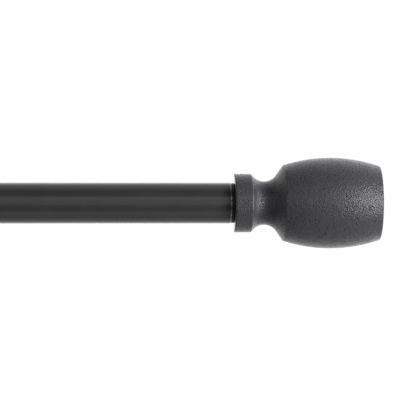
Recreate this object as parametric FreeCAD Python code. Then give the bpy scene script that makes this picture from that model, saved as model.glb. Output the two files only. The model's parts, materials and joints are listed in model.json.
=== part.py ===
"""Telescoping 1 in curtain rod with two barrel finials and two adjustable wall brackets.

Frame, in millimetres: the origin is the centre of the right bracket's wall face.  +X runs along the
rod towards the right finial, +Y points into the wall and +Z is up.  The rod's axis is level with the
middle of the wall plates and PROJECTION in front of the wall.
"""

import FreeCAD
import Part
import math
import os

V = FreeCAD.Vector
X_AXIS, Y_AXIS, Z_AXIS = V(1, 0, 0), V(0, 1, 0), V(0, 0, 1)
OUT_OF_WALL = V(0, -1, 0)
DOWN = V(0, 0, -1)

# Driving dimensions of the set
PROJECTION = 89.0  # wall to rod axis with the arms pushed in, 3 1/2 in
ROD_RADIUS = 12.7  # 1 in outer tube
INNER_RADIUS = 11.1  # 7/8 in inner tube
SET_LENGTH = 914.0  # tube end to tube end as shown, 36 in
OUTER_LENGTH = 711.0  # 28 in
INNER_LENGTH = 670.0
OVERHANG = 165.0  # bracket centre to the nearer tube end

# Where things sit along the rod
RIGHT_END = OVERHANG
LEFT_END = RIGHT_END - SET_LENGTH
OUTER_MOUTH = RIGHT_END - OUTER_LENGTH
BRACKET_X = {"right": 0.0, "left": LEFT_END + OVERHANG}

# Tubes and the nylon pieces that guide them
OUTER_WALL = 0.9
INNER_WALL = 0.8
OUTER_BORE = ROD_RADIUS - OUTER_WALL
INNER_BORE = INNER_RADIUS - INNER_WALL
TUBE_EDGE = 0.6
PRESSED = 0.05  # gap left where one piece is pressed into another
RUNNING = 0.1  # radial gap where tubes slide
RING_FLANGE, RING_SLEEVE = 1.2, 12.0
GLIDE_HEAD, GLIDE_SPIGOT, GLIDE_BORE = 8.0, 12.0, 8.0

# Threaded joint at each end of the rod, M8
STUD_RADIUS = 4.0
STUD_REACH = 15.0  # stud inside the tube
STUD_IN_FINIAL = 18.0
STUD_POINT = 1.0  # taper at the stud's end
THREAD_GAP = 0.05
PLUG_LENGTH, PLUG_RIBS, RIB_WIDTH, RIB_HEIGHT = 22.0, 8, 1.6, 0.9
NUT_FLATS, NUT_DEPTH, NUT_INSET = 13.0, 6.5, 1.5
WASHER_RADIUS, WASHER_BORE, WASHER_THICKNESS = 12.3, 4.2, 1.4
FACE_GAP = 0.05  # between faces that close on each other
EXACT = 0.01  # tolerance when edges are picked by their place

# Finial, measured from its base along the rod's axis
COLLAR_RADIUS = 18.1
COLLAR_CHAMFER = 0.7
NECK_RADIUS, NECK_X = 13.45, 18.9
COVE_RADIUS = 9.2
COVE_SLOPE = math.radians(55)
SHOULDER_X = 30.8
BARREL_RADIUS, BARREL_X = 28.05, 59.9
BARREL_ARC = 95.3
FINIAL_LENGTH = 91.1
END_DOME = 0.6  # how far the end face swells past its rim
END_ROUND = 1.3
COLLAR_ROUND = 0.45
SHOULDER_ROUND = 0.5

# Brackets
PLATE_WIDTH, PLATE_HEIGHT, PLATE_THICKNESS, PLATE_BEVEL = 26.0, 80.0, 2.5, 0.7
SCREW_HOLE_RADIUS, SCREW_HOLE_Z = 2.6, 30.0
SOCKET_RADIUS, SOCKET_LENGTH, SOCKET_FOOT = 8.5, 60.0, 3.0
ARM_RADIUS, ARM_GAP, ARM_START, ARM_FLAT = 6.0, 0.08, 4.0, 0.8
CRADLE_BORE, CRADLE_WALL, CRADLE_WIDTH, CRADLE_LIP = 14.2, 3.2, 16.0, 7.0
CRADLE_ROUND, LIP_CORNER = 1.0, 4.0
BOSS_RADIUS, BOSS_LENGTH, BOSS_BORE_DEPTH = 9.0, 6.0, 7.0
LINER_FLANGE, LINER_RIM = 1.2, 1.2
ROD_CLEARANCE = 0.3  # between a tube and the liner that carries it

# Thumb screws, M5
THUMB_RADIUS = 2.45
TAPPED_RADIUS = THUMB_RADIUS + THREAD_GAP
TIP_RADIUS, TIP_LENGTH, TIP_GAP = 2.3, 3.0, 0.1
PIN_RADIUS, PIN_LENGTH = 1.5, 2.0
HEAD_RADIUS, HEAD_LENGTH, HEAD_FLUTES, FLUTE_RADIUS = 5.5, 6.0, 24, 0.45
HEAD_SLOT_WIDTH, HEAD_SLOT_DEPTH, HEAD_EDGE = 1.2, 1.0, 0.5
THREAD_BOSS_RADIUS = 5.0
ROD_LOCK_BOSS = 3.0
ROD_LOCK_SHANK = 7.6
ARM_LOCK_Y = -52.0
ARM_LOCK_BOSS = 3.5
ARM_LOCK_SHANK = 5.7


class Outline:
    """A closed (x, r) half-section made of lines and arcs, turned about the X axis."""

    def __init__(self, x, r):
        self.start = self.here = V(x, r, 0)
        self.edges = []

    def line(self, x, r):
        there = V(x, r, 0)
        self.edges.append(Part.LineSegment(self.here, there).toShape())
        self.here = there
        return self

    def arc(self, through, to):
        there = V(to[0], to[1], 0)
        self.edges.append(Part.Arc(self.here, V(through[0], through[1], 0), there).toShape())
        self.here = there
        return self

    def turned(self):
        self.line(self.start.x, self.start.y)
        face = Part.Face(Part.Wire(self.edges))
        return face.revolve(V(0, 0, 0), X_AXIS, 360)


def cylinder(radius, length, base, direction):
    return Part.makeCylinder(radius, length, base, direction)


def bored(solid, radius, length, base, direction):
    return solid.cut(cylinder(radius, length, base, direction))


def only_solid(shape):
    return shape.Solids[0] if len(shape.Solids) == 1 else shape


def rounded(solid, radius, wanted):
    """solid with a fillet on every edge for which wanted(edge) is true."""
    return solid.makeFillet(radius, [e for e in solid.Edges if wanted(e)])


def is_round(edge, radius):
    """True for an edge that is an arc or circle of that radius."""
    if edge.Degenerated or not isinstance(edge.Curve, Part.Circle):
        return False
    return abs(edge.Curve.Radius - radius) < EXACT


def circles_at(x, radius):
    """A test for the round edges of that radius in the plane at x."""

    def wanted(edge):
        return is_round(edge, radius) and abs(edge.Curve.Center.x - x) < EXACT

    return wanted


def at_rod_end(shape, side):
    """Moves a piece made with x = 0 at a tube end and +X outwards to that end of the rod."""
    placed = shape.copy()
    if side == "left":
        placed.rotate(V(0, 0, 0), Z_AXIS, 180)
    placed.translate(V(RIGHT_END if side == "right" else LEFT_END, -PROJECTION, 0))
    return placed


def at_bracket(shape, side):
    placed = shape.copy()
    placed.translate(V(BRACKET_X[side], 0, 0))
    return placed


# ---- rod ----------------------------------------------------------------------------------------


def tube(radius, bore, left, length):
    """A tube whose outer edges are rolled over at both ends."""
    body = Outline(0, bore).line(length, bore).line(length, radius).line(0, radius).turned()
    body = rounded(body, TUBE_EDGE, lambda e: circles_at(0, radius)(e) or circles_at(length, radius)(e))
    body.translate(V(left, -PROJECTION, 0))
    return body


def glide_ring():
    """Nylon bush in the mouth of the outer tube, which the inner tube slides through."""
    bore, sleeve = INNER_RADIUS + RUNNING, OUTER_BORE - PRESSED
    body = (
        Outline(-RING_FLANGE, bore)
        .line(RING_SLEEVE, bore)
        .line(RING_SLEEVE, sleeve)
        .line(0, sleeve)
        .line(0, ROD_RADIUS)
        .line(-RING_FLANGE / 2, ROD_RADIUS)
        .line(-RING_FLANGE, ROD_RADIUS - TUBE_EDGE)
        .turned()
    )
    body.translate(V(OUTER_MOUTH - FACE_GAP, -PROJECTION, 0))
    return body


def inner_glide():
    """Nylon end piece that centres the hidden end of the inner tube in the outer one."""
    spigot, head = INNER_BORE - PRESSED, OUTER_BORE - RUNNING
    body = (
        Outline(-GLIDE_SPIGOT, GLIDE_BORE)
        .line(GLIDE_HEAD, GLIDE_BORE)
        .line(GLIDE_HEAD, head - TUBE_EDGE)
        .line(GLIDE_HEAD - TUBE_EDGE, head)
        .line(0, head)
        .line(0, spigot)
        .line(-GLIDE_SPIGOT, spigot)
        .turned()
    )
    body.translate(V(LEFT_END + INNER_LENGTH, -PROJECTION, 0))
    return body


def hexagon(flats, depth, base, direction):
    corner = flats / math.sqrt(3)
    points = [V(0, corner * math.cos(a), corner * math.sin(a)) for a in sixths(6)]
    prism = Part.Face(Part.makePolygon(points)).extrude(V(depth * direction.x, 0, 0))
    prism.translate(base)
    return prism


def sixths(count):
    """The angles of a closed polygon of that many sides."""
    return [2 * math.pi * i / count for i in range(count + 1)]


def end_plug(bore):
    """Nylon plug pressed into a tube end on crush ribs, with a pocket that holds the nut."""
    core = bore - RIB_HEIGHT
    body = cylinder(core, PLUG_LENGTH, V(-PLUG_LENGTH, 0, 0), X_AXIS)
    reach = bore - PRESSED
    for i in range(PLUG_RIBS):
        rib = Part.makeBox(PLUG_LENGTH, RIB_WIDTH, reach, V(-PLUG_LENGTH, -RIB_WIDTH / 2, 0))
        rib.rotate(V(0, 0, 0), X_AXIS, 360.0 * i / PLUG_RIBS)
        body = body.fuse(rib)
    body = body.common(cylinder(reach, PLUG_LENGTH, V(-PLUG_LENGTH, 0, 0), X_AXIS))
    pocket = NUT_DEPTH + NUT_INSET
    body = body.cut(hexagon(NUT_FLATS + 2 * PRESSED, pocket, V(0, 0, 0), V(-1, 0, 0)))
    return bored(body, WASHER_BORE, PLUG_LENGTH, V(-PLUG_LENGTH, 0, 0), X_AXIS)


def plug_nut():
    body = hexagon(NUT_FLATS, NUT_DEPTH, V(-NUT_INSET, 0, 0), V(-1, 0, 0))
    return bored(body, STUD_RADIUS + THREAD_GAP, PLUG_LENGTH, V(-PLUG_LENGTH, 0, 0), X_AXIS)


def spacer_washer():
    """Black ring between the tube end and the finial."""
    front = WASHER_THICKNESS - FACE_GAP
    return (
        Outline(FACE_GAP, WASHER_BORE)
        .line(front, WASHER_BORE)
        .line(front, WASHER_RADIUS)
        .line(FACE_GAP, WASHER_RADIUS)
        .turned()
    )


def finial_stud():
    """Headless screw, fixed in the finial and screwed into the plug's nut."""
    end = WASHER_THICKNESS + STUD_IN_FINIAL
    return (
        Outline(-STUD_REACH, 0)
        .line(-STUD_REACH, STUD_RADIUS - STUD_POINT)
        .line(STUD_POINT - STUD_REACH, STUD_RADIUS)
        .line(end, STUD_RADIUS)
        .line(end, 0)
        .turned()
    )


def barrel_height(x):
    """Radius of the barrel's side at x, on one arc whose widest point is at BARREL_X."""
    return BARREL_RADIUS - BARREL_ARC + math.sqrt(BARREL_ARC**2 - (x - BARREL_X) ** 2)


def finial():
    """Turned finial: collar, cove neck, shoulder, barrel and a slightly domed end."""
    cove_centre = NECK_RADIUS + COVE_RADIUS
    cove_start = NECK_X - math.sqrt(COVE_RADIUS**2 - (cove_centre - COLLAR_RADIUS) ** 2)
    slope_x = NECK_X + COVE_RADIUS * math.sin(COVE_SLOPE)
    slope_r = cove_centre - COVE_RADIUS * math.cos(COVE_SLOPE)
    bore = STUD_RADIUS + PRESSED
    end_radius = barrel_height(FINIAL_LENGTH)
    body = (
        Outline(0, bore)
        .line(0, COLLAR_RADIUS - COLLAR_CHAMFER)
        .line(COLLAR_CHAMFER, COLLAR_RADIUS)
        .line(cove_start, COLLAR_RADIUS)
        .arc((NECK_X, NECK_RADIUS), (slope_x, slope_r))
        .line(SHOULDER_X, barrel_height(SHOULDER_X))
        .arc((BARREL_X, BARREL_RADIUS), (FINIAL_LENGTH, end_radius))
        .arc((FINIAL_LENGTH + 0.75 * END_DOME, end_radius / 2), (FINIAL_LENGTH + END_DOME, 0))
        .line(STUD_IN_FINIAL, 0)
        .line(STUD_IN_FINIAL, bore)
        .turned()
    )
    body = rounded(body, END_ROUND, circles_at(FINIAL_LENGTH, end_radius))
    body = rounded(body, COLLAR_ROUND, circles_at(cove_start, COLLAR_RADIUS))
    body = rounded(body, SHOULDER_ROUND, circles_at(SHOULDER_X, barrel_height(SHOULDER_X)))
    body.translate(V(WASHER_THICKNESS, 0, 0))
    return body


# ---- brackets -----------------------------------------------------------------------------------


def wall_plate():
    """Steel plate with round ends and a screw hole above and below the arm."""
    half, straight = PLATE_WIDTH / 2, (PLATE_HEIGHT - PLATE_WIDTH) / 2
    corner = V(-half, -PLATE_THICKNESS, -straight)
    body = Part.makeBox(PLATE_WIDTH, PLATE_THICKNESS, 2 * straight, corner)
    for z in (-straight, straight):
        body = body.fuse(cylinder(half, PLATE_THICKNESS, Z_AXIS * z, OUT_OF_WALL))
    body = body.removeSplitter()
    front = [e for e in body.Edges if abs(e.BoundBox.YMax + PLATE_THICKNESS) < EXACT]
    body = body.makeChamfer(PLATE_BEVEL, front)
    for z in (-SCREW_HOLE_Z, SCREW_HOLE_Z):
        body = bored(body, SCREW_HOLE_RADIUS, PLATE_THICKNESS, Z_AXIS * z, OUT_OF_WALL)
    return body


def arm_socket():
    """Round socket welded to the plate, with a threaded boss below for the arm lock."""
    bore, foot = ARM_RADIUS + ARM_GAP, SOCKET_RADIUS + SOCKET_FOOT
    body = (
        Outline(0, bore)
        .line(SOCKET_LENGTH, bore)
        .line(SOCKET_LENGTH, SOCKET_RADIUS - TUBE_EDGE)
        .line(SOCKET_LENGTH - TUBE_EDGE, SOCKET_RADIUS)
        .line(SOCKET_FOOT, SOCKET_RADIUS)
        .arc(
            (SOCKET_FOOT * (1 - math.sqrt(0.5)), foot - SOCKET_FOOT * math.sqrt(0.5)),
            (0, foot),
        )
        .turned()
    )
    body.rotate(V(0, 0, 0), Z_AXIS, -90)
    body.translate(OUT_OF_WALL * PLATE_THICKNESS)
    seat = V(0, ARM_LOCK_Y, 0)
    boss = cylinder(THREAD_BOSS_RADIUS, SOCKET_RADIUS + ARM_LOCK_BOSS, seat, DOWN)
    body = body.fuse(bored(boss, bore, PLATE_WIDTH, seat - OUT_OF_WALL * PLATE_WIDTH / 2, OUT_OF_WALL))
    return bored(body.removeSplitter(), TAPPED_RADIUS, PLATE_WIDTH, seat, DOWN)


def bracket_arm():
    """Round arm that slides in the socket, flat underneath so that the lock keeps it upright."""
    end = PROJECTION - CRADLE_BORE - CRADLE_WALL - BOSS_LENGTH + BOSS_BORE_DEPTH
    body = cylinder(ARM_RADIUS, end - ARM_START, OUT_OF_WALL * ARM_START, OUT_OF_WALL)
    flat_end = PLATE_THICKNESS + SOCKET_LENGTH
    below = ARM_RADIUS - ARM_FLAT
    flat = Part.makeBox(
        2 * ARM_RADIUS, flat_end - ARM_START, ARM_RADIUS, V(-ARM_RADIUS, -flat_end, -below - ARM_RADIUS)
    )
    return body.cut(flat)


def saddle(outer, inner, x_from, x_to, lip):
    """U section around the rod's axis, open at the top, with lips that rise to lip above the axis."""
    rod_axis = V(x_from, -PROJECTION, 0)
    corner = rod_axis - Y_AXIS * outer
    length = x_to - x_from
    body = cylinder(outer, length, rod_axis, X_AXIS)
    body = body.cut(Part.makeBox(length, 2 * outer, outer, corner))
    body = body.fuse(Part.makeBox(length, 2 * outer, lip, corner))
    gap = Part.makeBox(length, 2 * inner, outer, rod_axis - Y_AXIS * inner)
    return bored(body, inner, length, rod_axis, X_AXIS).cut(gap).removeSplitter()


def is_lip_corner(edge):
    """True for the short edges at the two ends of each lip's top."""
    box = edge.BoundBox
    return box.ZMin > CRADLE_LIP - EXACT and box.XLength < EXACT


def is_outside_edge(edge, outer):
    """True for the edges around the outside of the cradle's side faces and along its lips."""
    box = edge.BoundBox
    on_side = abs(abs(box.Center.y + PROJECTION) - outer) < EXACT and box.YLength < EXACT
    return on_side or is_round(edge, outer)


def arm_boss(outer):
    """Round boss behind the cradle, bored for the arm and as wide as the cradle at most."""
    web, length = outer - CRADLE_WALL / 2, BOSS_LENGTH + CRADLE_WALL / 2
    boss = cylinder(BOSS_RADIUS, length, OUT_OF_WALL * (PROJECTION - web), Y_AXIS)
    far = web + length - PROJECTION
    boss = boss.makeChamfer(TUBE_EDGE, [e for e in boss.Edges if e.BoundBox.YMin > far - EXACT])
    corner = V(-CRADLE_WIDTH / 2, far - length, -BOSS_RADIUS)
    return boss.common(Part.makeBox(CRADLE_WIDTH, length, 2 * BOSS_RADIUS, corner))


def rod_cradle():
    """Cast cradle on the end of the arm, with a threaded boss in front for the rod lock."""
    half, outer = CRADLE_WIDTH / 2, CRADLE_BORE + CRADLE_WALL
    rod_axis = OUT_OF_WALL * PROJECTION
    body = rounded(saddle(outer, CRADLE_BORE, -half, half, CRADLE_LIP), LIP_CORNER, is_lip_corner)
    body = rounded(body, CRADLE_ROUND, lambda e: is_outside_edge(e, outer))
    web = outer - CRADLE_WALL / 2
    front_length = CRADLE_WALL / 2 + ROD_LOCK_BOSS
    front = cylinder(THREAD_BOSS_RADIUS, front_length, rod_axis + OUT_OF_WALL * web, OUT_OF_WALL)
    body = body.fuse([arm_boss(outer), front])
    body = bored(body, CRADLE_BORE, CRADLE_WIDTH, rod_axis - X_AXIS * half, X_AXIS)
    arm_bore = rod_axis + Y_AXIS * (outer + BOSS_LENGTH)
    body = bored(body, ARM_RADIUS + PRESSED, BOSS_BORE_DEPTH + PRESSED, arm_bore, OUT_OF_WALL)
    return bored(body, TAPPED_RADIUS, 2 * outer, rod_axis, OUT_OF_WALL)


def cradle_liner(tube_radius):
    """Soft liner snapped into the cradle, with a thin rim over each side face."""
    half, inner = CRADLE_WIDTH / 2 + PRESSED, tube_radius + ROD_CLEARANCE
    outer = CRADLE_BORE - PRESSED
    body = rounded(saddle(outer, inner, -half, half, CRADLE_LIP), LIP_CORNER, is_lip_corner)
    rim, rim_lip = CRADLE_BORE + LINER_RIM, CRADLE_LIP - LIP_CORNER
    for x_from in (-half - LINER_FLANGE, half):
        body = body.fuse(saddle(rim, inner, x_from, x_from + LINER_FLANGE, rim_lip))
    back = OUT_OF_WALL * PROJECTION
    return bored(body.removeSplitter(), TAPPED_RADIUS, 2 * CRADLE_BORE, back, OUT_OF_WALL)


def screw_tip(face, direction):
    """Nylon tip that rides on the end of a thumb screw and presses on the piece it locks."""
    body = cylinder(TIP_RADIUS, TIP_LENGTH, face, direction)
    hollow = TIP_LENGTH - PIN_LENGTH - THREAD_GAP
    return bored(body, PIN_RADIUS + THREAD_GAP, TIP_LENGTH, face + direction * hollow, direction)


def thumb_screw(face, direction, shank):
    """Knurled thumb screw whose tip starts at face, with a driver slot across its head."""
    seat = face + direction * (TIP_LENGTH + THREAD_GAP)
    body = cylinder(PIN_RADIUS, PIN_LENGTH, seat - direction * PIN_LENGTH, direction)
    body = body.fuse(cylinder(THUMB_RADIUS, shank, seat, direction))
    head_base = seat + direction * shank
    head = cylinder(HEAD_RADIUS, HEAD_LENGTH, head_base, direction)
    head = head.makeChamfer(HEAD_EDGE, [e for e in head.Edges if is_round(e, HEAD_RADIUS)])
    across = X_AXIS
    other = direction.cross(across)
    for angle in sixths(HEAD_FLUTES)[1:]:
        spot = head_base + (across * math.cos(angle) + other * math.sin(angle)) * HEAD_RADIUS
        head = head.cut(cylinder(FLUTE_RADIUS, HEAD_LENGTH, spot, direction))
    slot_centre = head_base + direction * (HEAD_LENGTH - HEAD_SLOT_DEPTH / 2)
    slot = Part.makeBox(2 * HEAD_RADIUS, HEAD_SLOT_WIDTH, HEAD_SLOT_WIDTH)
    lift = direction * (HEAD_SLOT_WIDTH - HEAD_SLOT_DEPTH) / 2
    slot.translate(slot_centre - slot.CenterOfMass + lift)
    return body.fuse(head.cut(slot))


def rod_lock(side):
    radius = ROD_RADIUS if side == "right" else INNER_RADIUS
    face = OUT_OF_WALL * (PROJECTION + radius + TIP_GAP)
    return screw_tip(face, OUT_OF_WALL), thumb_screw(face, OUT_OF_WALL, ROD_LOCK_SHANK)


def arm_lock():
    face = V(0, ARM_LOCK_Y, ARM_FLAT - ARM_RADIUS - TIP_GAP)
    return screw_tip(face, DOWN), thumb_screw(face, DOWN, ARM_LOCK_SHANK)


# ---- the set ------------------------------------------------------------------------------------


def rod_pieces():
    return {
        "outer_tube": tube(ROD_RADIUS, OUTER_BORE, OUTER_MOUTH, OUTER_LENGTH),
        "inner_tube": tube(INNER_RADIUS, INNER_BORE, LEFT_END, INNER_LENGTH),
        "glide_ring": glide_ring(),
        "inner_glide": inner_glide(),
    }


def end_pieces(side):
    bore = OUTER_BORE if side == "right" else INNER_BORE
    made = {
        "end_plug": end_plug(bore),
        "plug_nut": plug_nut(),
        "spacer_washer": spacer_washer(),
        "finial_stud": finial_stud(),
        "finial": finial(),
    }
    return {f"{name}_{side}": at_rod_end(shape, side) for name, shape in made.items()}


def bracket_pieces(side):
    rod_tip, rod_screw = rod_lock(side)
    arm_tip, arm_screw = arm_lock()
    made = {
        "wall_plate": wall_plate(),
        "arm_socket": arm_socket(),
        "bracket_arm": bracket_arm(),
        "rod_cradle": rod_cradle(),
        "cradle_liner": cradle_liner(ROD_RADIUS if side == "right" else INNER_RADIUS),
        "rod_lock_tip": rod_tip,
        "rod_lock_screw": rod_screw,
        "arm_lock_tip": arm_tip,
        "arm_lock_screw": arm_screw,
    }
    return {f"{name}_{side}": at_bracket(shape, side) for name, shape in made.items()}


def main():
    os.makedirs("parts", exist_ok=True)
    pieces = rod_pieces()
    for side in ("right", "left"):
        pieces.update(end_pieces(side))
        pieces.update(bracket_pieces(side))
    for name, shape in pieces.items():
        shape = only_solid(shape)
        valid = shape.isValid() and len(shape.Solids) == 1
        print(f"{name:22s} {'ok ' if valid else 'BAD'} {shape.Volume / 1000:9.3f} cm3")
        shape.exportStep(f"parts/{name}.step")


main()
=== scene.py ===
"""Curtain rod with brackets: finishes, turned and threaded pieces, studio and camera.

Everything is in metres in the CAD frame: +X along the rod to the right finial, +Y into the wall, +Z up.
"""

import json
import math

import bmesh
import bpy
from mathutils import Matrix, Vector


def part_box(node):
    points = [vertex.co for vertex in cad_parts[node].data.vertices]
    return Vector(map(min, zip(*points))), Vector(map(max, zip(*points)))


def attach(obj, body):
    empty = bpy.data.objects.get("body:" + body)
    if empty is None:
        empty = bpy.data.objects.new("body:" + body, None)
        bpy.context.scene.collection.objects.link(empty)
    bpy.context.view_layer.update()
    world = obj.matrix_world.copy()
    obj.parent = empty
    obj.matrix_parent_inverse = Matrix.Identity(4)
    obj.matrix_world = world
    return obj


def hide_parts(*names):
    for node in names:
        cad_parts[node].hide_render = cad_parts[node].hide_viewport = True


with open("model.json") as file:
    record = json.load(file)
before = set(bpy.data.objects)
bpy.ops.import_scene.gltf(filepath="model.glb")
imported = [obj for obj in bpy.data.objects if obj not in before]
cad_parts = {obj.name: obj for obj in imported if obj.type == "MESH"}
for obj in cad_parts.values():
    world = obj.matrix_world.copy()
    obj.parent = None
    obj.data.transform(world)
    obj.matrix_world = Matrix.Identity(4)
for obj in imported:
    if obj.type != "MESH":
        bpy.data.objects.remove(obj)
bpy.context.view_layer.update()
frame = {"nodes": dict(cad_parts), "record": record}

MM = 0.001
SIDES = ("right", "left")
OUTWARD = {"right": 1, "left": -1}

# Places read from the frame
PLUG = {side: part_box(f"end_plug_{side}") for side in SIDES}
ROD_END = {"right": PLUG["right"][1].x, "left": PLUG["left"][0].x}
AXIS_Y = (PLUG["right"][0].y + PLUG["right"][1].y) / 2
BRACKET_X = {side: sum(c.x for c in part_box(f"wall_plate_{side}")) / 2 for side in SIDES}

# Tubes: node, wall and body, then how far the rolled edge comes down and reaches along the tube
TUBES = (("outer_tube", 0.9 * MM, "rod_outer"), ("inner_tube", 0.8 * MM, "rod_inner"))
TUBE_ROLL, TUBE_ROLL_REACH = 0.6 * MM, 1.4 * MM
TUBE_STEPS, TUBE_RUNS = 128, 24
WORN_FROM, WORN_TO = 0.2 * MM, 1.0 * MM  # part of the roll where the paint is worn, from the tube's end

# Glide ring in the outer tube's mouth
RING_GAP = 0.1 * MM  # between its bore and the inner tube
RING_FLANGE, RING_ROUND, RING_STEPS = 1.2 * MM, 0.5 * MM, 96
RING_SLEEVE_RADIUS, RING_CROWN_RADIUS = 11.75 * MM, 12.7 * MM

# Spacer washer, and the gaps on its two faces taken together
WASHER_BORE, WASHER_EDGE, WASHER_STEPS = 4.2 * MM, 0.4 * MM, 96
WASHER_GAPS = 0.1 * MM

# Thread forms: crest radius, depth and pitch. The profile is the depth's share along one pitch.
STUD_THREAD = (4.0 * MM, 0.62 * MM, 1.25 * MM)
THUMB_THREAD = (2.45 * MM, 0.4 * MM, 0.8 * MM)
THREAD_PROFILE = (0.0, 0.12, 0.5, 0.88, 1.0, 0.95)
THREAD_STEPS = 40
THREAD_START = 3  # a thread starts and ends at 1 / THREAD_START of its full depth

# Finial, from its base along its own axis, in millimetres
COLLAR_RADIUS, COLLAR_CHAMFER = 18.1, 0.7
CHAMFER_EASE, CHAMFER_RISE = 0.2, 0.08  # how the chamfer's two corners are softened
NECK_RADIUS, NECK_X, COVE_RADIUS, COVE_SLOPE = 13.45, 18.9, 9.2, math.radians(55)
COVE_DROP = math.acos((NECK_RADIUS + COVE_RADIUS - COLLAR_RADIUS) / COVE_RADIUS)
COVE_START = NECK_X - COVE_RADIUS * math.sin(COVE_DROP)
COVE_TRIM = 2  # degrees of the cove taken up by the collar's rounded edge
SHOULDER_X, BARREL_RADIUS, BARREL_X, BARREL_ARC = 30.8, 28.05, 59.9, 95.3
FINIAL_LENGTH, END_DOME, END_ROUND, STUD_BORE, STUD_HOLE_DEPTH = 91.1, 0.6, 1.3, 4.05, 18.0
RIM_LIFT, RIM_FROM, RIM_TO = 0.42, 71, 3  # where the end's rim round sits, and its angles in degrees
END_FACE_SHARES = (0.92, 0.75, 0.5, 0.25, 0.02)  # points on the domed end face, as shares of its radius
EDGE_ROUND = 0.5
# Points of the shoulder's round, from its sharp corner and in EDGE_ROUNDs
SHOULDER_EASE = ((-0.57, -0.82), (-0.2, -0.3), (0.1, -0.03))
AXIS_DOT = 0.01  # radius that stands for the axis itself
FINIAL_STEPS, BARREL_RUNS, COVE_RUNS, COLLAR_RUNS, SLOPE_RUNS = 192, 40, 28, 8, 6
FLAT = 0.05 * MM  # in metres: faces this close to the finial's base are its inner face

# Thumb screws: pin, knurled head and slot
PIN_LENGTH, PIN_RADIUS, PIN_EDGE, PIN_STEPS = 2.0 * MM, 1.5 * MM, 0.3 * MM, 32
HEAD_LENGTH, HEAD_RADIUS, HEAD_SOFT, HEAD_SHOULDER = 6.0 * MM, 5.5 * MM, 0.5 * MM, 0.12 * MM
HEAD_FLUTES, FLUTE_DEPTH, FLUTE_STEPS = 24, 0.35 * MM, 8
HEAD_ROWS = (0.2, 0.35, 0.5, 0.65, 0.8)  # rows along the head's straight side, as shares of its length
SLOT_DEPTH, SLOT_WIDTH = 1.0 * MM, 1.2 * MM
LAP = 0.3 * MM  # how far a screw's parts run into each other

# Weld round a socket's foot
BEAD, BEAD_INSET, BEAD_RIPPLES, BEAD_STEPS = 0.9 * MM, 0.1 * MM, 46, 10
RIPPLE, WANDER = 0.12, 0.06  # shares of the bead's size

# Camera: a long lens, level with the rod, a little to the left of square on
LENS, SENSOR, CLIP_END = 450.0, 36.0, 100.0
FIELD = 0.2473  # metres across the picture at the rod
YAW = math.radians(5.0)
AIM_LEFT_OF_TUBE_END, AIM_ABOVE_AXIS = 0.0194, 0.0019

# Floor: metres below the rod, half its width, and the strength of its own light
FLOOR_BELOW, FLOOR_HALF, FLOOR_GLOW = 0.45, 6.0, 0.73

# The white tent round the object: which way its bright side lies, and how its light rises towards it
TENT_BRIGHT_SIDE = (0.32, 0.94, 0.06)
TENT_STEPS = ((-0.25, 0.3, 0.05, 0.75), (0.5, 1.0, 0.0, 1.5))
SEEN_WHITE = 1.02  # strength of the plain white that the camera sees

# Soft boxes: azimuth and elevation in degrees, distance, size in metres, radiance
LAMPS = {
    "key": (54, 4, 1.3, (0.5, 0.9), 16.0),
    "front_top": (3, 24, 1.6, (1.6, 0.5), 1.1),
    "front": (6, 0, 1.8, (1.2, 0.5), 0.8),
    "low": (0, -64, 1.3, (1.6, 0.8), 0.5),
    "left": (-70, 6, 1.5, (1.4, 1.0), 0.85),
}


# ---- meshes -------------------------------------------------------------------------------------


def add_piece(name, mesh, body, slot, replaces=(), crease=40):
    """Puts a mesh in the scene as a piece that rides on a body and stands for CAD nodes."""
    mesh.shade_smooth()
    mesh.set_sharp_from_angle(angle=math.radians(crease))
    piece = bpy.data.objects.new(name, mesh)
    bpy.context.scene.collection.objects.link(piece)
    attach(piece, body)
    if replaces:
        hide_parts(*replaces)
    mesh.materials.append(FINISH[slot])
    return piece


def plain_mesh(name, bm):
    """Turns a bmesh into a mesh and frees it."""
    mesh = bpy.data.meshes.new(name)
    bm.to_mesh(mesh)
    bm.free()
    return mesh


def closed_mesh(name, bm):
    """Welds a bmesh, turns its faces outwards and returns it as a mesh."""
    bmesh.ops.remove_doubles(bm, verts=bm.verts, dist=1e-7)
    bmesh.ops.dissolve_degenerate(bm, edges=bm.edges, dist=1e-7)
    bmesh.ops.recalc_face_normals(bm, faces=bm.faces)
    return plain_mesh(name, bm)


def skin(bm, rings, closed):
    """Quads between neighbouring rings of points; closed also joins the last ring to the first."""
    made = [[bm.verts.new(p) for p in ring] for ring in rings]
    pairs = list(zip(made, made[1:])) + ([(made[-1], made[0])] if closed else [])
    for one, other in pairs:
        for i in range(len(one)):
            j = (i + 1) % len(one)
            bm.faces.new((one[i], one[j], other[j], other[i]))
    return made


class Axis:
    """A line to turn shapes about: place(x, r, angle) is the point at x along it and r from it."""

    def __init__(self, base, along):
        self.base, self.along = Vector(base), Vector(along).normalized()
        self.across = self.along.orthogonal().normalized()
        self.up = self.along.cross(self.across)

    def place(self, x, r, angle):
        spoke = self.across * math.cos(angle) + self.up * math.sin(angle)
        return self.base + self.along * x + spoke * r

    def moved(self, x):
        """The same axis with its base x further along it."""
        return Axis(self.base + self.along * x, self.along)


def along_rod(x, out=1):
    return Axis((x, AXIS_Y, 0), (out, 0, 0))


def around(steps):
    """Angles of that many even steps round a circle."""
    return [2 * math.pi * i / steps for i in range(steps)]


def lathe(name, axis, outline, steps):
    """Turns a closed (x, r) outline about the axis."""
    bm = bmesh.new()
    skin(bm, [[axis.place(x, r, a) for a in around(steps)] for x, r in outline], closed=True)
    return closed_mesh(name, bm)


def arc(centre, radius, start, end, count):
    """Points on an arc from angle start to angle end, in degrees."""
    angles = [math.radians(start + (end - start) * i / count) for i in range(count + 1)]
    return [(centre[0] + radius * math.cos(a), centre[1] + radius * math.sin(a)) for a in angles]


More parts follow.
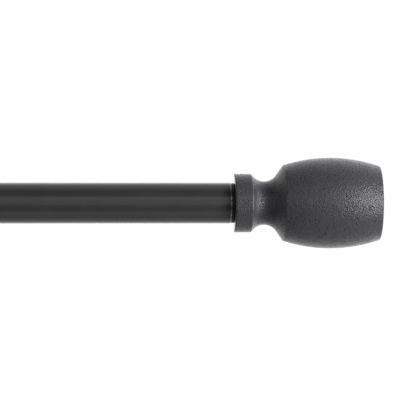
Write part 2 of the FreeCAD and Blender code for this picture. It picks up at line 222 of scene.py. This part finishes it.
def run(start, end, count):
    """Evenly spaced points on a straight run, without its last one."""
    return [tuple(s + (e - s) * i / count for s, e in zip(start, end)) for i in range(count)]


def rolled(length, radius, bore, edge, runs=1, reach=None):
    """Outline of a tube with both outer edges rolled over, reach along it and edge down."""
    reach, side, corner = reach or edge, radius - edge, arc((0, 0), 1.0, 90, 0, 6)
    far = [(length - reach + reach * x, side + edge * r) for x, r in corner]
    near = [(reach - reach * x, side + edge * r) for x, r in reversed(corner)]
    middle = run((reach, radius), (length - reach, radius), runs)[1:]
    return near + middle + far + [(length, bore), (0, bore)]


def threaded(name, axis, length, form):
    """A screw thread: rows of points follow the helix, so crests and roots are clean lines."""
    crest, depth, pitch = form
    rows, start = len(THREAD_PROFILE), pitch / THREAD_START
    turns = int(length / pitch) + 2
    bm = bmesh.new()
    lines = []
    for k in range(-rows, turns * rows):
        line = []
        for i in range(THREAD_STEPS + 1):
            x = pitch * (k / rows + i / THREAD_STEPS)
            inside = min(max(x, 0.0), length)
            runout = min(1.0, (length - inside + start) / pitch, (inside + start) / pitch)
            r = crest - depth * (THREAD_PROFILE[k % rows] * runout + (1 - runout))
            line.append(bm.verts.new(axis.place(inside, r, -2 * math.pi * i / THREAD_STEPS)))
        lines.append(line)
    for one, other in zip(lines, lines[1:]):
        for i in range(THREAD_STEPS):
            bm.faces.new((one[i], one[i + 1], other[i + 1], other[i]))
    bmesh.ops.remove_doubles(bm, verts=bm.verts, dist=1e-6)
    bmesh.ops.holes_fill(bm, edges=[e for e in bm.edges if e.is_boundary])
    return closed_mesh(name, bm)


def cut_away(mesh, cutter):
    """The mesh with a box-like cutter mesh taken out of it."""
    whole, tool = (bpy.data.objects.new("cutting", m) for m in (mesh, cutter))
    for o in (whole, tool):
        bpy.context.scene.collection.objects.link(o)
    change = whole.modifiers.new("slot", "BOOLEAN")
    change.operation, change.object, change.solver = "DIFFERENCE", tool, "EXACT"
    bpy.context.view_layer.update()
    made = bpy.data.meshes.new_from_object(whole.evaluated_get(bpy.context.evaluated_depsgraph_get()))
    for o in (whole, tool):
        bpy.data.objects.remove(o)
    return made


def joined(name, meshes):
    """One mesh from several, left as they are."""
    bm = bmesh.new()
    for mesh in meshes:
        bm.from_mesh(mesh)
    return plain_mesh(name, bm)


def second_finish(piece, finish, wanted):
    """Gives the faces for which wanted(the face's centre) is true another finish."""
    mesh = piece.data
    mesh.materials.append(FINISH[finish])
    for face in mesh.polygons:
        if wanted(face.center):
            face.material_index = len(mesh.materials) - 1


# ---- finishes -----------------------------------------------------------------------------------


class Finish:
    """A node material whose textures are laid out in the piece's own metres."""

    def __init__(self, name, metallic=0.0, specular=0.5, sheen=0.0):
        self.material = bpy.data.materials.new(name)
        self.material.use_nodes = True
        self.tree = self.material.node_tree
        self.shader = self.tree.nodes["Principled BSDF"]
        self.shader.inputs["Metallic"].default_value = metallic
        self.shader.inputs["Specular IOR Level"].default_value = specular
        self.shader.inputs["Sheen Weight"].default_value = sheen
        self.coords = self.node("ShaderNodeTexCoord").outputs["Object"]
        self.relief = None

    def node(self, kind, **settings):
        made = self.tree.nodes.new(kind)
        for key, value in settings.items():
            setattr(made, key, value)
        return made

    def stretched(self, stretch):
        mapping = self.node("ShaderNodeMapping")
        mapping.inputs["Scale"].default_value = [1 / s for s in stretch]
        self.tree.links.new(self.coords, mapping.inputs["Vector"])
        return mapping.outputs["Vector"]

    def noise(self, size, detail=2.0, stretch=(1, 1, 1)):
        """Cloudy values whose blobs are about size metres across, drawn out by stretch."""
        made = self.node("ShaderNodeTexNoise")
        made.inputs["Scale"].default_value = 1 / size
        made.inputs["Detail"].default_value = detail
        self.tree.links.new(self.stretched(stretch), made.inputs["Vector"])
        return made.outputs["Fac"]

    def grains(self, size):
        """Packed grains about size metres across: the distance from each grain's middle."""
        made = self.node("ShaderNodeTexVoronoi")
        made.inputs["Scale"].default_value = 1 / size
        self.tree.links.new(self.coords, made.inputs["Vector"])
        return made.outputs["Distance"]

    def levels(self, value, low, high, to_low, to_high):
        """Carries the range low to high over to another one, with soft ends."""
        made = self.node("ShaderNodeMapRange", interpolation_type="SMOOTHSTEP")
        ends = {"From Min": low, "From Max": high, "To Min": to_low, "To Max": to_high}
        for socket, end in ends.items():
            made.inputs[socket].default_value = end
        self.tree.links.new(value, made.inputs["Value"])
        return made.outputs["Result"]

    def colour(self, value, *stops):
        """Base colour from a value, by (position, colour) stops."""
        ramp = self.node("ShaderNodeValToRGB")
        elements = ramp.color_ramp.elements
        while len(elements) < len(stops):
            elements.new(0.5)
        for element, (position, shade) in zip(elements, stops):
            element.position, element.color = position, (*shade, 1)
        self.tree.links.new(value, ramp.inputs["Fac"])
        self.tree.links.new(ramp.outputs["Color"], self.shader.inputs["Base Color"])
        return self

    def rough(self, value):
        self.tree.links.new(value, self.shader.inputs["Roughness"])
        return self

    def bump(self, value, height):
        """Adds relief of that height in metres on top of any relief already there."""
        made = self.node("ShaderNodeBump")
        made.inputs["Distance"].default_value = height
        self.tree.links.new(value, made.inputs["Height"])
        if self.relief:
            self.tree.links.new(self.relief, made.inputs["Normal"])
        self.relief = made.outputs["Normal"]
        self.tree.links.new(self.relief, self.shader.inputs["Normal"])
        return self


def rod_paint():
    """Satin black baked enamel on drawn tube: faint orange peel and draw lines along the rod."""
    f = Finish("rod_paint")
    f.colour(f.noise(14 * MM, 4), (0.3, (0.030, 0.030, 0.030)), (0.7, (0.036, 0.036, 0.0362)))
    f.rough(f.levels(f.noise(5 * MM, 4, stretch=(12, 1, 1)), 0.3, 0.7, 0.27, 0.34))
    f.bump(f.noise(1.4 * MM), 0.0035 * MM)
    return f.bump(f.noise(0.5 * MM, stretch=(60, 1, 1)), 0.0012 * MM)


def worn_lip():
    """Where the enamel has rubbed off a tube's rolled end and the steel shines through."""
    f = Finish("worn_lip", metallic=1.0)
    f.colour(f.noise(1.5 * MM, 4), (0.35, (0.16, 0.16, 0.16)), (0.55, (0.48, 0.48, 0.48)))
    f.rough(f.levels(f.noise(0.8 * MM), 0.3, 0.7, 0.26, 0.4))
    return f.bump(f.noise(0.5 * MM, stretch=(60, 1, 1)), 0.0012 * MM)


def finial_coat():
    """Charcoal textured coat: packed fine grains, with pits whose bottoms are painted dark as painted
    shade and kept rough, so they stay dark in the highlight.
    """
    f = Finish("finial_coat")
    pits = f.grains(1.9 * MM)
    # dark is painted shade: each pit's bottom is coloured darker for the shade that falls in the
    # hollow.
    dark, mid, light = (0.010, 0.010, 0.012), (0.043, 0.042, 0.048), (0.053, 0.052, 0.059)
    f.colour(pits, (0.06, dark), (0.26, mid), (0.8, light))
    f.rough(f.levels(pits, 0.1, 0.28, 0.9, 0.37))
    f.bump(f.grains(0.85 * MM), 0.21 * MM)
    f.bump(f.levels(pits, 0.0, 0.3, 0, 1), 0.32 * MM)
    return f.bump(f.noise(0.6 * MM), 0.06 * MM)


def finial_smooth():
    """The same coat run smooth, on the finial's flat inner face."""
    f = Finish("finial_smooth")
    f.colour(f.noise(3 * MM, 3), (0.3, (0.031, 0.0305, 0.035)), (0.7, (0.042, 0.041, 0.047)))
    f.rough(f.levels(f.noise(1.5 * MM), 0.35, 0.65, 0.16, 0.24))
    return f.bump(f.noise(1.2 * MM), 0.01 * MM)


def finial_edge_highlight():
    """The collar's crisp edge towards the cove, rubbed smooth in handling, and coloured lighter than
    the coat as a painted highlight along the edge's glint.
    """
    f = Finish("finial_edge_highlight", specular=0.6)
    # The colour, lighter than the coat's, is painted highlight on the edge; the low roughness is the
    # rubbing.
    f.colour(f.noise(3 * MM, 3), (0.3, (0.050, 0.049, 0.056)), (0.7, (0.075, 0.074, 0.083)))
    f.rough(f.levels(f.noise(1.2 * MM), 0.35, 0.65, 0.2, 0.34))
    return f.bump(f.noise(0.9 * MM), 0.012 * MM)


def black_nylon():
    """Moulded black nylon with a slight spark-eroded grain."""
    f = Finish("black_nylon", specular=0.45)
    f.colour(f.noise(3 * MM, 3), (0.3, (0.008, 0.008, 0.0085)), (0.7, (0.013, 0.013, 0.014)))
    f.rough(f.levels(f.noise(1.5 * MM), 0.3, 0.7, 0.45, 0.6))
    return f.bump(f.noise(0.35 * MM), 0.01 * MM)


def white_nylon():
    """Natural nylon, slightly cloudy."""
    f = Finish("white_nylon", specular=0.45)
    f.colour(f.noise(2 * MM, 3), (0.3, (0.62, 0.60, 0.54)), (0.7, (0.72, 0.70, 0.65)))
    f.rough(f.levels(f.noise(1 * MM), 0.3, 0.7, 0.38, 0.5))
    return f.bump(f.noise(0.3 * MM), 0.006 * MM)


def bracket_paint():
    """Black powder coat: orange peel with fine pits, over slightly uneven castings."""
    f = Finish("bracket_paint")
    f.colour(f.noise(6 * MM, 5), (0.3, (0.025, 0.025, 0.026)), (0.7, (0.034, 0.034, 0.035)))
    f.rough(f.levels(f.noise(3 * MM, 3), 0.3, 0.7, 0.36, 0.5))
    return f.bump(f.noise(9 * MM), 0.05 * MM).bump(f.noise(0.8 * MM, 3), 0.022 * MM)


def liner_rubber():
    """Soft black liner with a dusty bloom."""
    f = Finish("liner_rubber", specular=0.3, sheen=0.15)
    f.colour(f.noise(4 * MM, 5), (0.35, (0.011, 0.011, 0.011)), (0.7, (0.020, 0.020, 0.021)))
    f.rough(f.levels(f.noise(2 * MM, 3), 0.3, 0.7, 0.68, 0.85))
    return f.bump(f.noise(0.4 * MM, 3), 0.02 * MM)


def black_zinc():
    """Black-passivated zinc: dark metal with a faint bluish and brown cast."""
    f = Finish("black_zinc", metallic=1.0)
    f.colour(f.noise(2.5 * MM, 4), (0.3, (0.060, 0.060, 0.066)), (0.7, (0.105, 0.098, 0.092)))
    f.rough(f.levels(f.noise(0.9 * MM, 3), 0.3, 0.7, 0.28, 0.42))
    return f.bump(f.noise(0.3 * MM), 0.008 * MM)


def zinc_steel():
    """Bright zinc plate with a slight bluish and yellow mottle."""
    f = Finish("zinc_steel", metallic=1.0)
    f.colour(f.noise(2 * MM, 4), (0.3, (0.50, 0.52, 0.56)), (0.7, (0.64, 0.62, 0.55)))
    f.rough(f.levels(f.noise(0.7 * MM, 3), 0.3, 0.7, 0.24, 0.38))
    return f.bump(f.noise(0.25 * MM), 0.006 * MM)


def floor_paper():
    """Matt white studio paper, lit evenly through from below."""
    f = Finish("floor_paper", specular=0.0)
    f.shader.inputs["Emission Color"].default_value = (1, 1, 1, 1)
    f.shader.inputs["Emission Strength"].default_value = FLOOR_GLOW
    f.colour(f.noise(0.6, 3), (0.3, (0.05, 0.05, 0.0495)), (0.7, (0.065, 0.065, 0.065)))
    f.rough(f.levels(f.noise(0.05), 0.3, 0.7, 0.8, 0.9))
    return f.bump(f.noise(1.5 * MM), 0.03 * MM)


FINISH = {
    make.__name__: make().material
    for make in (
        rod_paint,
        worn_lip,
        finial_coat,
        finial_smooth,
        finial_edge_highlight,
        black_nylon,
        white_nylon,
        bracket_paint,
        liner_rubber,
        black_zinc,
        zinc_steel,
    )
}


def finish_cad_nodes():
    """Every CAD node takes the finish of its material slot in the record."""
    for part in frame["record"]["subparts"]:
        mesh = frame["nodes"][part["node"]].data
        mesh.materials.clear()
        mesh.materials.append(FINISH[part["material_slot"]])


# ---- rod ----------------------------------------------------------------------------------------


def width(node):
    """Width of a node along X."""
    low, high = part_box(node)
    return high.x - low.x


def radius_of(node):
    """Radius of a round node that lies along X."""
    low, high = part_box(node)
    return (high.z - low.z) / 2


def near_end(node, out):
    """Where a node starts, going the way out along the rod."""
    low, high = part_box(node)
    return low.x if out > 0 else high.x


def off_rod(point):
    """Distance of a point from the rod's axis."""
    return math.hypot(point.y - AXIS_Y, point.z)


def make_tubes():
    """The two tubes, with rolled edges whose paint is worn."""
    for node, wall, body in TUBES:
        low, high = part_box(node)
        radius = radius_of(node)
        outline = rolled(width(node), radius, radius - wall, TUBE_ROLL, TUBE_RUNS, TUBE_ROLL_REACH)
        mesh = lathe(node + "_turned", along_rod(low.x), outline, TUBE_STEPS)
        tube = add_piece(node + "_turned", mesh, body, "rod_paint", [node])

        def on_lip(point):
            inset = min(abs(point.x - low.x), abs(point.x - high.x))
            return WORN_FROM < inset < WORN_TO and off_rod(point) > radius - TUBE_ROLL

        second_finish(tube, "worn_lip", on_lip)


def make_glide_ring():
    """The bush in the outer tube's mouth that the inner tube slides through."""
    length, bore = width("glide_ring"), radius_of("inner_tube") + RING_GAP
    crown = arc((RING_ROUND, RING_CROWN_RADIUS - RING_ROUND), RING_ROUND, 180, 90, 5)
    flange = [(RING_FLANGE, RING_CROWN_RADIUS), (RING_FLANGE, RING_SLEEVE_RADIUS)]
    sleeve = [(length, RING_SLEEVE_RADIUS), (length, bore)]
    outline = [(0, bore)] + crown + flange + sleeve
    mesh = lathe("glide_ring_moulded", along_rod(near_end("glide_ring", 1)), outline, RING_STEPS)
    add_piece("glide_ring_moulded", mesh, "rod_outer", "black_nylon", ["glide_ring"])


# ---- finials ------------------------------------------------------------------------------------


def barrel_height(x):
    """Radius of the barrel's bulge at x, in millimetres."""
    return BARREL_RADIUS - BARREL_ARC + math.sqrt(BARREL_ARC**2 - (x - BARREL_X) ** 2)


def collar_outline():
    """From the stud's bore over the inner face, the chamfer and the collar to its rounded edge."""
    shoulder = COLLAR_RADIUS - COLLAR_CHAMFER
    ends_at = COVE_START - EDGE_ROUND
    points = [(0, STUD_BORE), (0, shoulder - CHAMFER_EASE), (CHAMFER_RISE, shoulder)]
    points += [(COLLAR_CHAMFER, COLLAR_RADIUS - CHAMFER_RISE)]
    points += [(COLLAR_CHAMFER + CHAMFER_EASE, COLLAR_RADIUS)]
    starts_at = COLLAR_CHAMFER + 2 * CHAMFER_EASE
    points += run((starts_at, COLLAR_RADIUS), (ends_at, COLLAR_RADIUS), COLLAR_RUNS)
    return points + arc((ends_at, COLLAR_RADIUS - EDGE_ROUND), EDGE_ROUND, 90, 45, 4)


def cove_outline():
    """The hollow neck, and the straight slope from it up to the shoulder's rounded edge."""
    centre = NECK_RADIUS + COVE_RADIUS
    first = 270 - math.degrees(COVE_DROP) + COVE_TRIM
    cove = arc((NECK_X, centre), COVE_RADIUS, first, 270 + math.degrees(COVE_SLOPE), COVE_RUNS)
    slope_start = (
        NECK_X + COVE_RADIUS * math.sin(COVE_SLOPE),
        centre - COVE_RADIUS * math.cos(COVE_SLOPE),
    )
    sharp = (SHOULDER_X, barrel_height(SHOULDER_X))
    ease = [tuple(s + EDGE_ROUND * e for s, e in zip(sharp, step)) for step in SHOULDER_EASE]
    return cove + run(slope_start, ease[0], SLOPE_RUNS)[1:] + ease[1:]


def barrel_outline():
    """The barrel's bulge, its rim and the domed end face."""
    start, end = SHOULDER_X + EDGE_ROUND, FINIAL_LENGTH - END_ROUND
    xs = [start + (end - start) * i / BARREL_RUNS for i in range(BARREL_RUNS + 1)]
    flat = barrel_height(FINIAL_LENGTH) - END_ROUND
    rim = arc((end, flat + RIM_LIFT), END_ROUND, RIM_FROM, RIM_TO, 7)
    face = [(FINIAL_LENGTH + END_DOME * (1 - t * t), flat * t) for t in END_FACE_SHARES]
    return [(x, barrel_height(x)) for x in xs] + rim + face


def finial_outline():
    """The whole finial and the blind hole for its stud, in metres."""
    hole = [(STUD_HOLE_DEPTH, AXIS_DOT), (STUD_HOLE_DEPTH, STUD_BORE)]
    points = collar_outline() + cove_outline() + barrel_outline() + hole
    return [(x * MM, r * MM) for x, r in points]


def make_finial(side, outline):
    """The finial turned in one piece, with a smooth inner face and a rubbed collar edge with a painted
    highlight.
    """
    out, name = OUTWARD[side], f"finial_{side}"
    base = ROD_END[side] + out * (width(f"spacer_washer_{side}") + WASHER_GAPS)
    turned = lathe(name, along_rod(base, out), outline, FINIAL_STEPS)
    finial = add_piece(name + "_turned", turned, name, "finial_coat", [name])

    def on_collar_edge(point):
        along, radius = abs(point.x - base) / MM, off_rod(point) / MM
        return radius > COLLAR_RADIUS - EDGE_ROUND and abs(along - COVE_START) < EDGE_ROUND

    second_finish(finial, "finial_smooth", lambda point: abs(point.x - base) < FLAT)
    second_finish(finial, "finial_edge_highlight", on_collar_edge)


def make_washer(side):
    node = f"spacer_washer_{side}"
    axis = along_rod(near_end(node, OUTWARD[side]), OUTWARD[side])
    outline = rolled(width(node), radius_of(node), WASHER_BORE, WASHER_EDGE)
    washer = lathe("washer", axis, outline, WASHER_STEPS)
    add_piece(node + "_moulded", washer, f"washer_{side}", "black_nylon", [node])


def make_stud(side):
    node = f"finial_stud_{side}"
    axis = along_rod(near_end(node, OUTWARD[side]), OUTWARD[side])
    stud = threaded("stud", axis, width(node), STUD_THREAD)
    add_piece(node + "_threaded", stud, f"finial_{side}", "zinc_steel", [node], crease=25)


def make_rod_ends():
    """At each end of the rod: the finial, the washer behind it and the stud that holds it."""
    outline = finial_outline()
    for side in SIDES:
        make_finial(side, outline)
        make_washer(side)
        make_stud(side)


# ---- brackets -----------------------------------------------------------------------------------


def slot_cutter(axis, top):
    """A box across the head's middle, with half of it above the head's top."""
    bm = bmesh.new()
    bmesh.ops.create_cube(bm, size=1.0)
    centre = axis.base + axis.along * top
    for v in bm.verts:
        deep = axis.along * (v.co.x * 2 * SLOT_DEPTH)
        wide = axis.across * (v.co.y * SLOT_WIDTH)
        long = axis.up * (v.co.z * 3 * HEAD_RADIUS)
        v.co = centre + deep + wide + long
    return closed_mesh("slot", bm)


def knurled_head(axis, start):
    """Screw head with straight knurling all round and soft edges, slotted across its top."""
    end = HEAD_LENGTH
    rim, shoulder = HEAD_RADIUS - HEAD_SOFT, HEAD_RADIUS - HEAD_SHOULDER
    rows = [(0.0, rim, 0.0), (HEAD_SOFT / 2, shoulder, 0.5), (HEAD_SOFT, HEAD_RADIUS, 1.0)]
    rows += [(end * share, HEAD_RADIUS, 1.0) for share in HEAD_ROWS]
    rows += [(end - HEAD_SOFT, HEAD_RADIUS, 1.0), (end - HEAD_SOFT / 2, shoulder, 0.5), (end, rim, 0.0)]
    rings = []
    for x, r, share in rows:
        ring = []
        for angle in around(HEAD_FLUTES * FLUTE_STEPS):
            dip = FLUTE_DEPTH * share * (0.5 + 0.5 * math.cos(HEAD_FLUTES * angle)) ** 2
            ring.append(axis.place(start + x, r - dip, angle))
        rings.append(ring)
    bm = bmesh.new()
    made = skin(bm, rings, closed=False)
    for ring in (made[0], made[-1]):
        bm.faces.new(ring)
    return cut_away(closed_mesh("head", bm), slot_cutter(axis, start + end))


def make_thumb_screw(node, axis_point, along):
    """A thumb screw from the frame's box for its node: pin, thread and head on one axis."""
    low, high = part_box(node)
    direction = Vector(along)
    depth = abs((high - low).dot(direction))
    near = min(low.dot(direction), high.dot(direction))
    point = Vector(axis_point)
    axis = Axis(point - direction * point.dot(direction) + direction * near, along)
    pin = lathe("pin", axis, rolled(PIN_LENGTH + LAP, PIN_RADIUS, AXIS_DOT * MM, PIN_EDGE), PIN_STEPS)
    shank = depth - PIN_LENGTH - HEAD_LENGTH
    thread = threaded("thread", axis.moved(PIN_LENGTH), shank + LAP, THUMB_THREAD)
    mesh = joined(node, [pin, thread, knurled_head(axis, depth - HEAD_LENGTH)])
    add_piece(node + "_threaded", mesh, node, "black_zinc", [node], crease=30)


def weld_bead(side):
    """Rippled weld round the foot of the socket, where it meets the wall plate."""
    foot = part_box(f"arm_socket_{side}")[1].y
    ring_radius = width(f"arm_socket_{side}") / 2 - BEAD_INSET
    centre = Vector((BRACKET_X[side], foot, 0))
    rings = []
    for angle in around(BEAD_RIPPLES * 6):
        ripple, wander = abs(math.sin(BEAD_RIPPLES * angle / 2)), math.sin(3 * angle + 1)
        swell = BEAD * (1 + RIPPLE * ripple + WANDER * wander)
        out = Vector((math.cos(angle), 0, math.sin(angle)))
        ring = []
        for a in around(BEAD_STEPS):
            off_wall = Vector((0, -swell * math.sin(a), 0))
            ring.append(centre + out * (ring_radius + swell * math.cos(a)) + off_wall)
        rings.append(ring)
    bm = bmesh.new()
    skin(bm, rings, closed=True)
    mesh = closed_mesh("weld", bm)
    add_piece(f"weld_bead_{side}", mesh, f"bracket_base_{side}", "bracket_paint", crease=60)


def make_bracket_details():
    """Thumb screws and welds of both brackets."""
    for side in SIDES:
        x = BRACKET_X[side]
        arm_y = sum(c.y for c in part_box(f"arm_lock_screw_{side}")) / 2
        make_thumb_screw(f"rod_lock_screw_{side}", (x, 0, 0), (0, -1, 0))
        make_thumb_screw(f"arm_lock_screw_{side}", (x, arm_y, 0), (0, 0, -1))
        weld_bead(side)


# ---- studio -------------------------------------------------------------------------------------


def make_floor():
    """Pale paper below the object. It is seen, and casts no light or shadow on the object."""
    bm = bmesh.new()
    bmesh.ops.create_grid(bm, x_segments=2, y_segments=2, size=FLOOR_HALF)
    mesh = plain_mesh("floor", bm)
    mesh.materials.append(floor_paper().material)
    floor = bpy.data.objects.new("floor", mesh)
    floor.location = (sum(ROD_END.values()) / 2, 0, -FLOOR_BELOW)
    floor.visible_glossy = floor.visible_diffuse = floor.visible_shadow = False
    bpy.context.scene.collection.objects.link(floor)


def tent_light(new, link):
    """Strength of the tent's light by direction: the sum of its steps towards the bright side."""
    facing = new("ShaderNodeVectorMath")
    facing.operation = "DOT_PRODUCT"
    facing.inputs[1].default_value = TENT_BRIGHT_SIDE
    link(new("ShaderNodeTexCoord").outputs["Generated"], facing.inputs[0])
    add = new("ShaderNodeMath")
    for i, ends in enumerate(TENT_STEPS):
        step = new("ShaderNodeMapRange")
        step.interpolation_type = "SMOOTHSTEP"
        for socket, end in zip(("From Min", "From Max", "To Min", "To Max"), ends):
            step.inputs[socket].default_value = end
        link(facing.outputs["Value"], step.inputs["Value"])
        link(step.outputs["Result"], add.inputs[i])
    return add.outputs["Value"]


def make_world():
    """A white tent that is open, and darker, behind the camera. The camera itself sees plain white."""
    world = bpy.data.worlds.new("tent")
    bpy.context.scene.world = world
    world.use_nodes = True
    tree = world.node_tree
    tree.nodes.clear()
    new, link = tree.nodes.new, tree.links.new
    tent, plain = new("ShaderNodeBackground"), new("ShaderNodeBackground")
    link(tent_light(new, link), tent.inputs["Strength"])
    plain.inputs["Strength"].default_value = SEEN_WHITE
    for shade in (tent, plain):
        shade.inputs["Color"].default_value = (1, 1, 1, 1)
    mix = new("ShaderNodeMixShader")
    link(new("ShaderNodeLightPath").outputs["Is Camera Ray"], mix.inputs["Fac"])
    link(tent.outputs["Background"], mix.inputs[1])
    link(plain.outputs["Background"], mix.inputs[2])
    link(mix.outputs["Shader"], new("ShaderNodeOutputWorld").inputs["Surface"])


def soft_box(name, target, azimuth, elevation, distance, size, radiance):
    """A rectangular area light aimed at target. Azimuth 0 is in front, and 90 is to the right."""
    a, e = math.radians(azimuth), math.radians(elevation)
    back = Vector((math.sin(a) * math.cos(e), -math.cos(a) * math.cos(e), math.sin(e)))
    light = bpy.data.lights.new(name, "AREA")
    light.shape, light.size, light.size_y = "RECTANGLE", size[0], size[1]
    light.energy = radiance * math.pi * size[0] * size[1]
    lamp = bpy.data.objects.new(name, light)
    lamp.location = target + back * distance
    lamp.rotation_euler = (-back).to_track_quat("-Z", "Y").to_euler()
    lamp.visible_camera = False
    bpy.context.scene.collection.objects.link(lamp)


def make_camera(aim):
    """Looks at the right end of the rod from the left of square on, through a long lens."""
    data = bpy.data.cameras.new("camera")
    data.lens, data.sensor_width, data.clip_end = LENS, SENSOR, CLIP_END
    direction = Vector((math.sin(YAW), math.cos(YAW), 0))
    camera = bpy.data.objects.new("camera", data)
    camera.location = aim - direction * (FIELD * LENS / SENSOR)
    camera.rotation_euler = direction.to_track_quat("-Z", "Y").to_euler()
    bpy.context.scene.collection.objects.link(camera)
    bpy.context.scene.camera = camera
    bpy.context.scene.view_settings.view_transform = "Standard"


def make_studio():
    aim = Vector((ROD_END["right"] - AIM_LEFT_OF_TUBE_END, AXIS_Y, AIM_ABOVE_AXIS))
    make_floor()
    make_world()
    make_camera(aim)
    for name, settings in LAMPS.items():
        soft_box(name, aim, *settings)


finish_cad_nodes()
make_tubes()
make_glide_ring()
make_rod_ends()
make_bracket_details()
make_studio()
